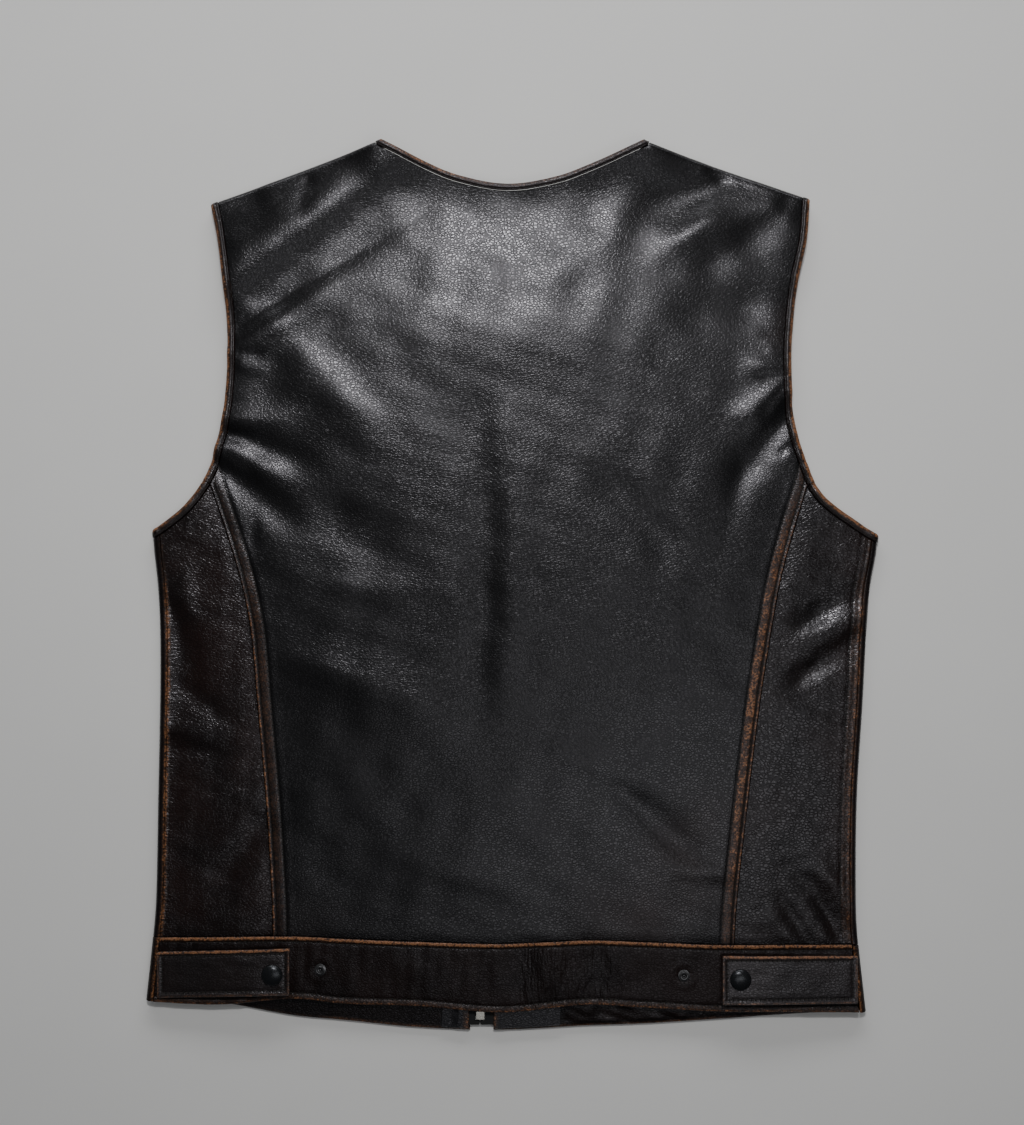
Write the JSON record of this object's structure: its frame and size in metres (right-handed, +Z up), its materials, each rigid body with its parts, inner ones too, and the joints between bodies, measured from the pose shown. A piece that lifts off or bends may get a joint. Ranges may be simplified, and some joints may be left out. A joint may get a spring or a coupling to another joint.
{
  "type": "leather vest",
  "caption": "Black leather zip vest with bound neck and armholes and snapped waist tabs, laid flat with its back up.",
  "frame": {"origin": "on the ground, under the middle of the laid vest's outline", "axes": "+Z up, +Y towards the neck, +X towards the wearer's right side, which is on the right from above"},
  "size_m": [0.5284, 0.6414, 0.0193],
  "materials": {
    "leather_black": "satin, fine pebble grain",
    "leather_side": "satin, coarser pebble grain",
    "leather_band": "satin, rubbed brown at the edges",
    "leather_edge": "satin, rubbed brown",
    "leather_facing": "satin",
    "zip_fabric": "matt woven tape",
    "black_metal": "satin black",
    "bare_metal": "worn nickel"
  },
  "bodies": {
    "vest": {"back_panel": "leather_black", "band_back": "leather_band", "side_back_left": "leather_side", "side_back_right": "leather_side", "front_left": "leather_black", "front_right": "leather_black", "band_front_left": "leather_band", "band_front_right": "leather_band", "facing_left": "leather_facing", "facing_right": "leather_facing", "zip_tape_left": "zip_fabric", "zip_tape_right": "zip_fabric", "binding_armhole_left": "leather_edge", "binding_armhole_right": "leather_edge", "binding_neck": "leather_edge", "tab_left": "leather_band", "tab_right": "leather_band", "snap_cap_left": "black_metal", "snap_cap_right": "black_metal", "snap_stud_left": "black_metal", "snap_stud_right": "black_metal", "spare_stud_left": "black_metal", "spare_stud_right": "black_metal", "zip_teeth": "bare_metal", "zip_box": "bare_metal", "zip_slider": "bare_metal"},
    "pull": {"zip_pull": "bare_metal"}
  },
  "joints": [
    {"name": "pull_swing", "type": "hinge", "parent": "vest", "child": "pull", "pos_m": [-0.00208, 0.21066, 0.00199], "axis": [0.9992, -0.0401, 0], "range_deg": [0, 160]}
  ]
}
